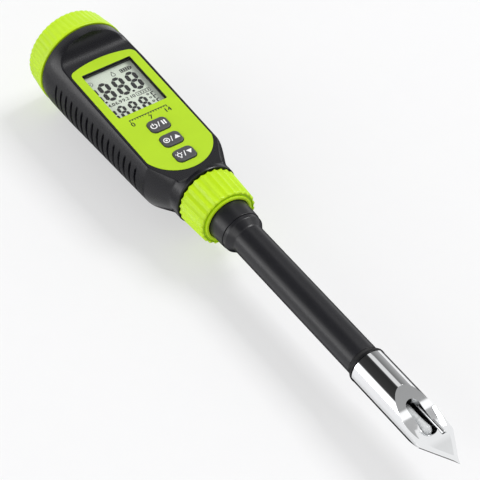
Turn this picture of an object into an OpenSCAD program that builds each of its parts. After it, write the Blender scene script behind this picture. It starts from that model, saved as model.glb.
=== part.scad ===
// Handheld soil pH meter: battery handle with a display, screw-on probe, spear tip.
// Every place along the meter is a station: its distance in mm from the spear's point,
// on the long axis. X is the display's right, Y runs from the point to the cap, Z is up.

/* [Overall] */
// Overall length, point to cap
total_len = 251; // [251:1:251]
// Height of the long axis above the surface the meter lies on
axis_h = 19; // [19:0.5:24]

/* [Housing] */
// Radius of the handle at its widest
full_r = 19; // [18.8:0.1:19]
// Radius of the handle above the shoulder
belly_r = 17.6; // [17.4:0.1:17.8]
// Radius of the neck behind the collar nut
neck_r = 12.9; // [12.8:0.1:13]
// Wall of the shell
wall = 2.2; // [2:0.1:2.3]
// Height of the flat front face above the axis, at face_s
face_h = 10.35; // [10.2:0.05:10.5]
// Slope of the front face, rising to the cap, in degrees
face_tilt = 2.63; // [2.4:0.01:2.8]
// Grip grooves on each side
groove_count = 16; // [10:1:16]
// Distance from one grip groove to the next
groove_pitch = 3.64; // [3.4:0.02:3.64]

/* [Face panel] */
// Half the width of the face panel
panel_hw = 14.27; // [14:0.01:14.4]
// Radius of the panel's rounded foot
panel_foot_r = 14.9; // [14.8:0.1:15]
// Width of the display window
window_w = 21.6; // [20:0.1:22]
// Length of the display window
window_l = 26.9; // [25:0.1:27]
// Width of a button
button_w = 8.4; // [7:0.1:9]
// Length of a button
button_l = 6.45; // [5.5:0.05:6.5]
// Travel of a button
button_travel = 0.6; // [0.3:0.1:0.6]

/* [Collar nut and cap] */
// Radius of the collar nut at its back edge
collar_r = 12.6; // [12.2:0.1:12.8]
// Ribs on the collar nut
collar_ribs = 26; // [20:1:30]
// Ribs on the battery cap
cap_ribs = 48; // [36:1:60]

/* [Probe] */
// Radius of the probe shaft
shaft_r = 6.35; // [6.2:0.05:6.5]
// Radius of the spear
spear_r = 7.25; // [7.1:0.05:7.3]
// Radius of the glass electrode tube
glass_r = 1.9; // [1.6:0.1:1.9]

/* [Hidden] */
$fn = 96;
eps = 0.01;
fit_gap = 0.05; // radial clearance of a close fit

// Stations
cap_front = 239.5;
spigot_end = 248.4;    // rear spigot, under the cap
barrel_end = 239.3;
shoulder_start = 156.5;
shoulder_len = 11;
taper_end = 221;
face_s = 197.2;
scoop_s = 227.7;       // where the flat face starts to curve up to the full round
scoop_r = 7;
neck_start = 151.6;
nose_start = 141.1;    // front spigot, under the collar nut
collar_front = 137.4;
collar_back = 151.2;
head_front = 129.1;
cone_front = 122.8;
ring_back = 54.25;
spear_back = 51.3;
spear_shoulder = 12.5; // where the spear's two cutting edges start

// Radii
spigot_r = 15.3;
spigot_bore = 13.3;
nose_r = 10;
nose_bore = 7.5;
head_r = 8.63;
shaft_bore = 4.6;
tenon_r = 5.85;        // shaft inside the spear
spear_bore = 4.3;

// Face frame heights, below the flat face
panel_proud = 0.2;
panel_floor = -0.6;
lens_floor = -1.4;
face_wall = -2.3;
lcd_top = -2.45;
lcd_floor = -4.05;
board_top = -6.6;
board_floor = -7.8;
window_mid = 11.25;    // middle of the window, up the face from face_s
button_v = [-13.0, -21.8, -30.8];
boss_at = [[-10.2, -8.4], [10.2, -8.4], [-9, 30.6], [9, 30.6]];

// Cells
cell_r = 5.25;
cell_len = 44.5;
cell_x = 5.45;
cell_z = -5.5;
cell_front = 201.3;
lead_x = 6.4;           // battery leads

// ---------- shared shapes ----------

function clamp01(t) = max(0, min(1, t));
function ease(t) = let (u = clamp01(t)) u * u * (3 - 2 * u);
function arc(c, r, a0, a1, n) =
    [for (i = [0:n]) let (a = a0 + (a1 - a0) * i / n) [c[0] + r * cos(a), c[1] + r * sin(a)]];

// Outer radius of the handle at a station
function handle_r(s) = neck_r
    + (belly_r - neck_r) * ease((s - shoulder_start) / shoulder_len)
    + (full_r - belly_r) * clamp01((s - shoulder_start - shoulder_len)
                                   / (taper_end - shoulder_start - shoulder_len));

// The meter's own frame: the long axis lies along Y, centred on its length
module meter() translate([0, -total_len / 2, axis_h]) children();

// A frame at a station, with its Z along the meter towards the cap
module at(s, x = 0, z = 0) translate([x, s, z]) rotate([-90, 0, 0]) children();

// A round bar, or a tube where a bore is given
module bar(s0, s1, r, bore = 0, x = 0, z = 0) at(s0, x, z) difference() {
    cylinder(r = r, h = s1 - s0);
    if (bore > 0) translate([0, 0, -1]) cylinder(r = bore, h = s1 - s0 + 2);
}

// A turned shape from [radius, station] points
module turned(points) rotate([-90, 0, 0]) rotate_extrude() polygon(points);

// The face frame: X across, Y up the front face, Z out of it
module face() translate([0, face_s, face_h]) rotate([face_tilt, 0, 0]) children();

// A flat block in the face frame, from x, v and w limits
module slab(hw, v0, v1, w0, w1) translate([-hw, v0, w0]) cube([2 * hw, v1 - v0, w1 - w0]);

// A rectangle with round corners
module round_rect(w, l, r, h) linear_extrude(h) polygon(concat(
    arc([w / 2 - r, l / 2 - r], r, 0, 90, 8), arc([r - w / 2, l / 2 - r], r, 90, 180, 8),
    arc([r - w / 2, r - l / 2], r, 180, 270, 8), arc([w / 2 - r, r - l / 2], r, 270, 360, 8)));

// The panel's outline, drawn in by a margin: straight sides, round foot, arched top
module panel_outline(inset) {
    hw = panel_hw - inset;
    foot_r = panel_foot_r - inset;
    foot_c = [0, -22.95];
    top_r = 41 - inset;
    top_c = [0, -11];
    corner_r = 3;
    corner = [hw - corner_r, top_c[1] + sqrt(pow(top_r - corner_r, 2) - pow(hw - corner_r, 2))];
    lean = atan2(corner[1] - top_c[1], corner[0]);
    foot_a = acos(hw / foot_r);
    polygon(concat(
        arc(foot_c, foot_r, 180 + foot_a, 360 - foot_a, 32),
        arc(corner, corner_r, 0, lean, 8),
        arc(top_c, top_r, lean, 180 - lean, 16),
        arc([-corner[0], corner[1]], corner_r, 180 - lean, 180, 8)));
}

// A tube swept along a list of points: a ring of corners at each, square to the path
function unit(v) = v / norm(v);
function along(p, i) = unit(p[min(i + 1, len(p) - 1)] - p[max(i - 1, 0)]);
function side_of(d) = unit(cross(d, abs(d[0]) > 0.9 ? [0, 0, 1] : [1, 0, 0]));
module swept(p, r, sides = 8) {
    n = len(p);
    rings = [for (i = [0:n - 1]) let (d = along(p, i), u = side_of(d), w = cross(d, u))
             for (k = [0:sides - 1]) p[i] + r * (u * cos(360 * k / sides) + w * sin(360 * k / sides))];
    walls = [for (i = [0:n - 2], k = [0:sides - 1]) let (k2 = (k + 1) % sides)
             [i * sides + k, i * sides + k2, (i + 1) * sides + k2, (i + 1) * sides + k]];
    polyhedron(rings, concat(walls,
        [[for (k = [sides - 1:-1:0]) k], [for (k = [0:sides - 1]) (n - 1) * sides + k]]), convexity = 6);
}

// A coil spring along Y whose turns change radius from r0 to r1
module coil(s0, s1, r0, r1, wire_r, turns, x = 0, z = 0) {
    steps = turns * 16;
    swept([for (i = [0:steps]) let (t = i / steps, a = 360 * turns * t, r = r0 + (r1 - r0) * t)
           [x + r * cos(a), s0 + (s1 - s0) * t, z + r * sin(a)]], wire_r);
}

// Grip ribs: a row of shallow round flutes around a turned part
module flutes(count, r, depth, s0, s1) {
    flute_r = 3.1416 * r / count * 0.62;
    for (i = [0:count - 1]) rotate([0, i * 360 / count, 0])
        at(s0 - 1, r + flute_r - depth) cylinder(r = flute_r, h = s1 - s0 + 2, $fn = 24);
}

// ---------- handle ----------

module handle_outline(step = 1) {
    body = [for (s = [neck_start:step:shoulder_start + shoulder_len + 2]) [handle_r(s), s]];
    turned(concat([[0, neck_start]], body,
        [[full_r, taper_end], [full_r, barrel_end - 6], [full_r - 0.15, barrel_end - 3],
         [full_r - 0.5, barrel_end], [0, barrel_end]]));
}

// Everything above the flat front face; at the cap it ends in a concave scoop, at the neck in
// a small one
module face_cut() {
    neck_scoop = 3;
    face() translate([-30, 0, 0]) rotate([90, 0, 90]) linear_extrude(60)
        polygon(concat(
            arc([scoop_s - face_s, scoop_r], scoop_r, -90, 0, 16),
            [[scoop_s - face_s + scoop_r, 20], [neck_start + 2 - face_s, 20]],
            arc([neck_start + 2 + neck_scoop - face_s, neck_scoop], neck_scoop, 180, 270, 8)));
}

module grip_grooves() {
    groove_w = 1.1;
    groove_depth = 0.9;
    first = 173.6;
    intersection() {
        for (i = [0:groove_count - 1]) {
            s = first + i * groove_pitch;
            bar(s - groove_w / 2, s + groove_w / 2, full_r + 3, handle_r(s) - groove_depth);
        }
        translate([-30, first - 2, -9.5]) cube([60, groove_count * groove_pitch + 2, 14.4]);
    }
}

module cavity() {
    front = 160;
    back = 236;
    intersection() {
        turned(concat([[0, front]],
            [for (s = [front:1:shoulder_start + shoulder_len + 1]) [handle_r(s) - wall, s]],
            [[full_r - wall, taper_end], [full_r - wall, back], [0, back]]));
        face() slab(30, front - face_s - 1, back - face_s + 1, -40, face_wall);
    }
}

module board_bosses() for (b = boss_at) face() translate([b[0], b[1], board_top + fit_gap])
    cylinder(r = 2.1, h = face_wall - board_top + 0.5);

module housing() color([0.18, 0.18, 0.2]) meter() {
    difference() {
        union() {
            difference() {
                union() {
                    handle_outline();
                    bar(barrel_end - 1, spigot_end, spigot_r);
                    bar(nose_start, neck_start + 1, nose_r);
                }
                face_cut();
                cavity();
            }
            board_bosses();
        }
        grip_grooves();
        face() translate([0, 0, panel_floor]) linear_extrude(2) panel_outline(-fit_gap);
        face() translate([0, window_mid, lens_floor]) linear_extrude(2)
            square([window_w + 2.2, window_l + 2.2], center = true);
        face() translate([0, window_mid, face_wall - 1]) linear_extrude(3)
            square([window_w, window_l], center = true);
        for (v = button_v) face() translate([0, v, face_wall - 1])
            round_rect(button_w + 0.3, button_l + 0.3, 2.1, 3);
        for (b = boss_at) face() translate([b[0], b[1], board_top - 1]) cylinder(r = 1, h = 3.8);
        bar(235, spigot_end + 1, spigot_bore);
        bar(nose_start - 1, 156.5, nose_bore);
        bar(156, 161, 6);
        // groove for the cap seal
        bar(240.3, 242.1, spigot_r + 1, 14.4);
    }
}

module face_panel() color([0.74, 0.89, 0.19]) meter() face() difference() {
    translate([0, 0, panel_floor]) linear_extrude(panel_proud - panel_floor) panel_outline(0);
    translate([0, window_mid, -2]) linear_extrude(4) square([window_w, window_l], center = true);
    for (v = button_v) translate([0, v, -2]) round_rect(button_w + 0.24, button_l + 0.24, 2.1, 4);
}

module display_window() color([0.85, 0.9, 0.9, 0.4]) meter() face()
    translate([0, window_mid, lens_floor]) linear_extrude(panel_floor - lens_floor)
    square([window_w + 2, window_l + 2], center = true);

module lcd_frame() color([0.85, 0.85, 0.83]) meter() face() difference() {
    slab(13.3, -5.6, 28, board_top, lcd_top);
    slab(12.1, -4.1, 26.6, board_top - 1, lcd_top + 1);
}

module lcd_glass() color([0.72, 0.76, 0.7]) meter() face() slab(12, -4, 26.5, lcd_floor, lcd_top);

module backlight_plate() color([0.95, 0.95, 0.92]) meter() face()
    slab(11.9, -1.7, 24.2, -5.6, lcd_floor);

module contact_strips() color([0.25, 0.25, 0.28]) meter() face() {
    slab(11, -3.9, -1.9, board_top, lcd_floor);
    slab(11, 24.4, 26.4, board_top, lcd_floor);
}

module main_board() color([0.05, 0.35, 0.18]) meter() face() difference() {
    translate([0, 0, board_floor]) linear_extrude(board_top - board_floor) polygon(concat(
        arc([0, -22], 14, 208, 332, 16), [[13.4, -10], [13.4, 33], [-13.4, 33], [-13.4, -10]]));
    for (b = boss_at) translate([b[0], b[1], board_floor - 1]) cylinder(r = 1.2, h = 4);
}

module board_chips() color([0.1, 0.1, 0.1]) meter() face() {
    translate([-5, -20, board_floor - 1.2]) cube([10, 10, 1.2]);
    translate([-8.5, -2, board_floor - 1.5]) cube([5, 4, 1.5]);
    translate([4, -2, board_floor - 1]) cube([4, 4, 1]);
    translate([-2, 8, board_floor - 1.4]) cube([6, 3, 1.4]);
}

module switch_domes() color([0.8, 0.8, 0.78]) meter() face() for (v = button_v)
    translate([0, v, board_top]) cylinder(r1 = 1.9, r2 = 1, h = 0.25);

module keypad_mat() color([0.3, 0.3, 0.32]) meter() face() difference() {
    translate([0, 0, -6.55]) linear_extrude(1) polygon(concat(
        arc([0, -22], 12.6, 215, 325, 12), [[9.6, -9.6], [-9.6, -9.6]]));
    for (v = button_v) translate([0, v, -8]) round_rect(6.4, 4.6, 1.4, 4);
    for (b = boss_at) translate([b[0], b[1], -8]) cylinder(r = 2.4, h = 4);
}

module board_screws() color([0.75, 0.75, 0.77]) meter() face() for (b = boss_at)
    translate([b[0], b[1], board_floor]) {
        translate([0, 0, -1]) cylinder(r = 1.9, h = 1);
        translate([0, 0, -eps]) cylinder(r = 0.95, h = 4);
    }

// A key: cap above the panel, flange under the shell, stem down to the switch
module button(v) color([0.24, 0.24, 0.26]) meter() face() translate([0, v, 0]) {
    translate([0, 0, -3]) round_rect(button_w, button_l, 2, 3.8);
    translate([0, 0, -3.8]) round_rect(button_w + 1.4, button_l + 1.2, 2, 0.8 + eps);
    translate([0, 0, board_top + 0.25 + button_travel + fit_gap])
        round_rect(5.8, 4, 1.2, -3.8 - board_top - 0.25 - button_travel);
}

module power_button() button(button_v[0]);
module calibrate_button() button(button_v[1]);
module light_button() button(button_v[2]);

// ---------- batteries ----------

module cell(x, flip) color([0.12, 0.12, 0.13]) meter() {
    nub = 0.8;
    nub_at = flip ? cell_front : cell_front + cell_len - nub - eps;
    can_at = flip ? cell_front + nub : cell_front;
    bar(can_at, can_at + cell_len - nub, cell_r, 0, x, cell_z);
    bar(nub_at, nub_at + nub + eps, 1.9, 0, x, cell_z);
}
module battery_left() cell(-cell_x, false);
module battery_right() cell(cell_x, true);

module battery_tray() color([0.16, 0.16, 0.17]) meter() difference() {
    front = 195;
    back = 235.5;
    r = 15.7;
    intersection() {
        union() {
            for (x = [-cell_x, cell_x]) bar(front, back, cell_r + 1.1, 0, x, cell_z);
            bar(front, front + 1.2, r);
            for (s = [208, 221, back - 1.5]) bar(s, s + 1.5, r);
        }
        translate([-20, front - 1, -20]) cube([40, 60, 17]);
    }
    for (x = [-cell_x, cell_x]) bar(front + 1.2, back + 1, cell_r + 0.1, 0, x, cell_z);
    translate([-cell_x, front, -4.5]) cube([2 * cell_x, 60, 5]);
}

module spring_contact() color([0.8, 0.8, 0.82]) meter()
    coil(196.55, cell_front - 0.3, 4, 2, 0.3, 4, -cell_x, cell_z);

module button_contact() color([0.8, 0.8, 0.82]) meter() {
    bar(196.25, 196.65, 4.2, 0, cell_x, cell_z);
    bar(196.65 - eps, cell_front - 0.02, 1.6, 0, cell_x, cell_z);
}

module battery_leads() color([0.7, 0.1, 0.1]) meter() for (x = [-lead_x, lead_x])
    swept([[x, 194.9, -6], [x, 193.4, -6], [x, 191.6, -5], [x, 190.4, -3], [x, 190, -1],
           [x, 190, 1.5]], 0.5);

// ---------- probe socket in the neck ----------

pin_at = [[2.4, 0], [0, 2.4], [-2.4, 0], [0, -2.4]];

module probe_socket() color([0.1, 0.1, 0.11]) meter() difference() {
    union() {
        bar(156.6, 160.4, 5.95);
        bar(147, 156.7, 4.9);
    }
    for (p = pin_at) bar(146, 153, 0.5, 0, p[0], p[1]);
}

module signal_cable() color([0.2, 0.2, 0.6]) meter()
    swept([[0, 160.42, -1.5], [0, 162, -1.5], [0, 165, -2], [0, 168, -2], [0, 170.5, -1.4],
           [0, 171.8, -0.4], [0, 172.2, 1.2]], 0.8);

// ---------- battery cap ----------

module battery_cap() color([0.76, 0.93, 0.15]) meter() {
    end = total_len;
    back_r = 17.6;
    difference() {
        turned([[0, cap_front], [full_r - 0.35, cap_front], [full_r, cap_front + 0.35],
                [back_r + 0.2, end - 1.1], [back_r - 0.9, end], [0, end]]);
        bar(cap_front - 1, 249.2, spigot_r + 0.1);
        flutes(cap_ribs, full_r, 0.28, cap_front + 2, end + 1);
    }
}

module cap_seal() color([0.08, 0.08, 0.08]) meter() at(241.2)
    rotate_extrude() translate([14.9, 0]) circle(r = 0.48, $fn = 24);

module cap_contact() color([0.8, 0.8, 0.82]) meter() bar(245.85, 246.45, 11.6);

module cap_spring() color([0.8, 0.8, 0.82]) meter() coil(246.85, 248.8, 7, 4, 0.35, 2.5);

// ---------- collar nut ----------

module collar_nut() color([0.76, 0.93, 0.15]) meter() difference() {
    front_r = 11.9;
    union() {
        difference() {
            turned([[0, collar_front], [front_r - 0.3, collar_front],
                    [front_r, collar_front + 0.3], [collar_r, collar_back - 0.3],
                    [collar_r - 0.3, collar_back], [0, collar_back]]);
            flutes(collar_ribs, collar_r - 0.2, 0.75, collar_front, collar_back);
        }
        turned([[0, collar_front - 0.7], [9.6, collar_front - 0.7],
                [10.1, collar_front - 0.3], [10.1, collar_front + 0.5], [0, collar_front + 0.5]]);
    }
    bar(collar_front - 2, collar_back + 1, head_r + 0.12);
    bar(collar_front + 2, collar_back + 1, nose_r + 0.1);
}

// ---------- probe ----------

module probe_head() color([0.14, 0.14, 0.16]) meter() difference() {
    turned([[0, head_front], [8.25, head_front], [8.4, head_front + 0.3],
            [head_r, collar_front], [head_r, collar_front + 2.1],
            [9.8, collar_front + 2.1], [9.8, nose_start - 0.1], [7.4, nose_start - 0.1],
            [7.4, 152], [0, 152]]);
    bar(head_front - 1, 138.1, 6.85);
    bar(138, 141.5, 3);
    bar(141, 153, 5.15);
    // groove for the probe seal
    bar(144.6, 146.3, 9, 6);
}

module probe_seal() color([0.08, 0.08, 0.08]) meter() at(145.45)
    rotate_extrude() translate([6.74, 0]) circle(r = 0.7, $fn = 24);

module plug_insert() color([0.85, 0.83, 0.75]) meter() difference() {
    bar(141.05, 145.6, 5.1);
    for (p = pin_at) bar(140, 147, 0.45, 0, p[0], p[1]);
}

module plug_pins() color([0.85, 0.7, 0.3]) meter() for (p = pin_at)
    bar(141.1, 151.5, 0.45, 0, p[0], p[1]);

module probe_shaft() color([0.14, 0.14, 0.16]) meter() difference() {
    cone_len = 5.5;
    turned(concat([[0, 38], [tenon_r, 38], [tenon_r, ring_back], [shaft_r, ring_back]],
        [for (i = [0:10]) [shaft_r + 1.75 * ease(i / 10), cone_front + cone_len * i / 10]],
        [[8.1, head_front - 0.05], [6.8, head_front - 0.05], [6.8, 138], [0, 138]]));
    bar(30, 140, shaft_bore);
}

module shaft_ring() color([0.12, 0.12, 0.13]) meter() difference() {
    turned([[0, spear_back + 0.03], [7.35, spear_back + 0.03], [7.35, ring_back - 1.2],
            [6.9, ring_back - 0.05], [0, ring_back - 0.05]]);
    bar(50, 56, tenon_r + fit_gap);
}

// The spear's ground face: level near the point, curving up to the full round
module ground_face() {
    grind_r = 55;
    level_s = 8;
    level_z = 0.9;
    translate([-20, level_s, level_z + grind_r]) rotate([0, 90, 0])
        cylinder(r = grind_r, h = 40, $fn = 360);
    translate([-20, -5, level_z]) cube([40, level_s + 5, 20]);
}

// One cutting edge of the point: the flank outside it, a bevel above and a relief below
module cutting_edge(side) {
    half_angle = atan(spear_r / spear_shoulder);
    bevel = 27;
    relief = 38;
    mirror([side < 0 ? 1 : 0, 0, 0]) rotate([0, 0, -half_angle]) {
        translate([0, -20, -20]) cube([20, 60, 40]);
        rotate([0, bevel, 0]) translate([-20, -20, 0]) cube([40, 60, 20]);
        rotate([0, -relief, 0]) translate([-20, -20, -30]) cube([40, 60, 30]);
    }
}

module spear_tip() color([0.8, 0.8, 0.82]) meter() difference() {
    pocket_r = 2.65;
    bar(0, spear_back, spear_r);
    ground_face();
    for (side = [-1, 1]) cutting_edge(side);
    bar(37.9, spear_back + 1, tenon_r + fit_gap);
    bar(28.6, 38, spear_bore);
    bar(24, 30, pocket_r, 0, 0, 0.3);
    // pocket around the glass bulb
    translate([0, 26, -2.5]) cylinder(r = pocket_r, h = 12);
    translate([-pocket_r, 17, -2.5]) cube([2 * pocket_r, 9, 12]);
    translate([0, 17, -2.5]) cylinder(r = pocket_r, h = 12);
    // dished run-out towards the point
    translate([-0.7, 16.5, 8.1]) sphere(r = 8);
    // groove of the temperature tube
    bar(12.7, 29, 0.85, 0, 3, 1.2);
}

// ---------- electrode ----------

electrode_x = -0.4;
electrode_z = 0.2;

module electrode_plug() color([0.06, 0.06, 0.07]) meter() difference() {
    bar(29.6, 60, spear_bore - fit_gap);
    bar(28, 61, glass_r + fit_gap, 0, electrode_x, electrode_z);
    bar(28, 61, 0.8, 0, 3, 1.2);
    bar(28, 46, 0.65, 0, 0.2, -3.1);
}

module electrode_tube() color([0.85, 0.92, 0.92, 0.4]) meter()
    bar(22.5, 61.5, glass_r, glass_r - 0.45, electrode_x, electrode_z);

// Pear-shaped glass bulb, closed at the point end
module electrode_bulb() color([0.85, 0.92, 0.92, 0.4]) meter()
    translate([electrode_x, 0, electrode_z]) turned(concat(
        [for (i = [0:12]) let (a = 90 * i / 12) [2.1 * sin(a), 18.9 - 2.3 * cos(a)]],
        [[glass_r, 22.45], [glass_r - 0.4, 22.45]],
        [for (i = [12:-1:0]) let (a = 90 * i / 12) [1.75 * sin(a), 18.9 - 1.95 * cos(a)]]));

module reference_wire() color([0.75, 0.75, 0.72]) meter()
    bar(19.5, 61, 0.3, 0, electrode_x, electrode_z);

module reference_junction() color([0.92, 0.9, 0.85]) meter() bar(29.3, 45.5, 0.6, 0, 0.2, -3.1);

module temperature_tube() color([0.85, 0.85, 0.87]) meter() bar(12.9, 60.5, 0.75, 0, 3, 1.2);

housing();
face_panel();
display_window();
lcd_frame();
lcd_glass();
backlight_plate();
contact_strips();
main_board();
board_chips();
switch_domes();
keypad_mat();
board_screws();
power_button();
calibrate_button();
light_button();
battery_tray();
battery_left();
battery_right();
spring_contact();
button_contact();
battery_leads();
probe_socket();
signal_cable();
battery_cap();
cap_seal();
cap_contact();
cap_spring();
collar_nut();
probe_head();
probe_seal();
plug_insert();
plug_pins();
probe_shaft();
shaft_ring();
spear_tip();
electrode_plug();
electrode_tube();
electrode_bulb();
reference_wire();
reference_junction();
temperature_tube();
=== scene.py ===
"""Looks of a handheld soil pH meter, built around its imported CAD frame.

Shapes are worked out in the meter's own millimetres: x across the display, s the station
(distance from the spear's point along the meter) and z the height above the long axis.
Angles round the axis run from straight up towards +x.
"""
import math

import bmesh
import bpy
from mathutils import Matrix, Vector


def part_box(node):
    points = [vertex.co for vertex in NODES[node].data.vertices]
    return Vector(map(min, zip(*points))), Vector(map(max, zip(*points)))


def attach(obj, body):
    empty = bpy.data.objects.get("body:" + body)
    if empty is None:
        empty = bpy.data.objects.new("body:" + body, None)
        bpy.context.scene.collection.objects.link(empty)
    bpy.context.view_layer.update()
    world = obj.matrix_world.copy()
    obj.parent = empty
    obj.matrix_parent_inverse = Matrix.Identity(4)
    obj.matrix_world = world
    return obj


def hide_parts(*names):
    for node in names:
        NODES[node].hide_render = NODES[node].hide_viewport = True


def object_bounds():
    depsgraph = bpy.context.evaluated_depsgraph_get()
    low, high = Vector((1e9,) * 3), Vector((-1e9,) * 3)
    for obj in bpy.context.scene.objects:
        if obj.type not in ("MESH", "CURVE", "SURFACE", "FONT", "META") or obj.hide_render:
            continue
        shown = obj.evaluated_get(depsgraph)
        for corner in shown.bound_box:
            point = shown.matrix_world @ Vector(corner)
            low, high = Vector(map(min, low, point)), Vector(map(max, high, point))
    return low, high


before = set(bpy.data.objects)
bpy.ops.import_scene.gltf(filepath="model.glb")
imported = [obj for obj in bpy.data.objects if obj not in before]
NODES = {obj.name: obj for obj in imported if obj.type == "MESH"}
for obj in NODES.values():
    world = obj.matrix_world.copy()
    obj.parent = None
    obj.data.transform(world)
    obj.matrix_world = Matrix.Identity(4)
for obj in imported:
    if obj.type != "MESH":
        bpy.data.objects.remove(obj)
cad_low, cad_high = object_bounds()

MM = 0.001
POINT_Y = cad_low.y
AXIS_Z = (cad_low.z + cad_high.z) / 2
END_S = (cad_high.y - cad_low.y) / MM


def stations(node):
    """The lowest and highest station of a CAD node."""
    low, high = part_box(node)
    return (low.y - POINT_Y) / MM, (high.y - POINT_Y) / MM


def outer_radius(node):
    low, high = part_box(node)
    return (high.x - low.x) / 2 / MM


FULL_R = outer_radius("battery_cap")
CAP_FRONT = stations("battery_cap")[0]
NOSE_START, SPIGOT_END = stations("housing")
COLLAR_LIP, COLLAR_BACK = stations("collar_nut")
COLLAR_R = outer_radius("collar_nut")
HEAD_FRONT, HEAD_BACK = stations("probe_head")
SPEAR_BACK = stations("spear_tip")[1]
SPEAR_R = outer_radius("spear_tip")
RING_BACK = stations("shaft_ring")[1]
RING_R = outer_radius("shaft_ring")

# Handle
BELLY_R = 17.6
NECK_R = 12.9
NECK_START = 151.6
SHOULDER_START = 156.2
SHOULDER_LEN = 12.5
TAPER_END = 221
BARREL_END = 239.3
BARREL_ROLL = 234
NOSE_R = 10
SPIGOT_R = 15.3
WALL = 2.2
THREAD_PITCH = 2

# Front face: a plane that rises towards the cap, with a hollow scooped at each end
FACE_S = 197.2
FACE_H = 10.35
FACE_TILT = math.radians(2.63)
SCOOP_S = 227.7
SCOOP_R = 7
NECK_SCOOP_R = 3
PANEL_HW = 14.27
WINDOW_MID = 11.25
WINDOW_W = 21.6
WINDOW_L = 26.9
LCD_TOP = -2.45
KEY_TOP = 0.8
KEYS = {"power_button": -13.0, "calibrate_button": -21.8, "light_button": -30.8}
KEY_W = 8.4
KEY_L = 6.45

FACE = (Matrix.Translation((0, POINT_Y + FACE_S * MM, AXIS_Z + FACE_H * MM))
        @ Matrix.Rotation(FACE_TILT, 4, "X"))


def place(x, s, z):
    """A point of the meter, in metres."""
    return Vector((x * MM, POINT_Y + s * MM, AXIS_Z + z * MM))


def polar(r, s, angle):
    return place(r * math.sin(angle), s, r * math.cos(angle))


def clamp01(t):
    return max(0.0, min(1.0, t))


def ease(t):
    u = clamp01(t)
    return u * u * (3 - 2 * u)


def ease_ends(t, part):
    """A straight rise from 0 to 1, rounded over the given part of its length at each end."""
    u = clamp01(t)
    if u > 0.5:
        return 1 - ease_ends(1 - u, part)
    rise = 1 / (1 - part)
    return rise * u * u / (2 * part) if u < part else rise * (u - part / 2)


def soft_min(a, b, blend):
    """The smaller of two radii, rounded over where they cross."""
    h = clamp01(0.5 + 0.5 * (b - a) / blend)
    return b + (a - b) * h - blend * h * (1 - h)


def span(low, high, step):
    """Evenly spaced values from low to high, no further apart than step."""
    count = max(1, math.ceil((high - low) / step))
    return [low + (high - low) * i / count for i in range(count + 1)]


def add_object(name, data):
    """A new object in the scene."""
    thing = bpy.data.objects.new(name, data)
    bpy.context.scene.collection.objects.link(thing)
    return thing


# ---------- camera, light, floor ----------

def make_camera():
    azimuth = math.radians(-34.695)
    elevation = math.radians(45.734)
    roll = math.radians(0.843)
    distance = 819.38 * MM
    back = Vector((math.sin(azimuth) * math.cos(elevation),
                   -math.cos(azimuth) * math.cos(elevation), math.sin(elevation)))
    level = Vector((math.cos(azimuth), math.sin(azimuth), 0))
    rise = back.cross(level)
    right = level * math.cos(roll) + rise * math.sin(roll)
    up = rise * math.cos(roll) - level * math.sin(roll)
    aim = Vector((0, 1.7 * MM, AXIS_Z)) - right * 1.465 * MM - up * 1.927 * MM
    data = bpy.data.cameras.new("camera")
    data.sensor_width = 36
    data.lens = 169.61
    data.clip_start = 0.01
    data.clip_end = 50
    camera = add_object("camera", data)
    turn = Matrix((right, up, back)).transposed().to_4x4()
    camera.matrix_world = Matrix.Translation(aim + back * distance) @ turn
    bpy.context.scene.camera = camera


def coordinates(nodes, links, kind):
    """The X, Y and Z of a texture coordinate."""
    where = nodes.new("ShaderNodeTexCoord")
    parts = nodes.new("ShaderNodeSeparateXYZ")
    links.new(where.outputs[kind], parts.inputs[0])
    return parts.outputs


def ramp(nodes, stops):
    """A colour ramp: [(position, colour), ...], where a lone number stands for a grey."""
    node = nodes.new("ShaderNodeValToRGB")
    elements = node.color_ramp.elements
    while len(elements) < len(stops):
        elements.new(1)
    for element, (position, colour) in zip(elements, stops):
        element.position = position
        element.color = (*(colour if isinstance(colour, tuple) else (colour,) * 3), 1)
    return node


def spread(nodes, links, source, low, high, first=0, last=1):
    """A number that runs from first to last while its source runs from low to high."""
    node = nodes.new("ShaderNodeMapRange")
    node.inputs["From Min"].default_value = low
    node.inputs["From Max"].default_value = high
    node.inputs["To Min"].default_value = first
    node.inputs["To Max"].default_value = last
    links.new(source, node.inputs["Value"])
    return node.outputs["Result"]


def layered(nodes, links, under, over, cover):
    """One grey level over another, where the cover's ramp is light."""
    node = nodes.new("ShaderNodeMix")
    node.data_type = "RGBA"
    links.new(cover.outputs[0], node.inputs["Factor"])
    links.new(over.outputs[0], node.inputs["B"])
    if under is None:
        node.inputs["A"].default_value = (1, 1, 1, 1)
    else:
        links.new(under.outputs["Result"], node.inputs["A"])
    return node


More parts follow.
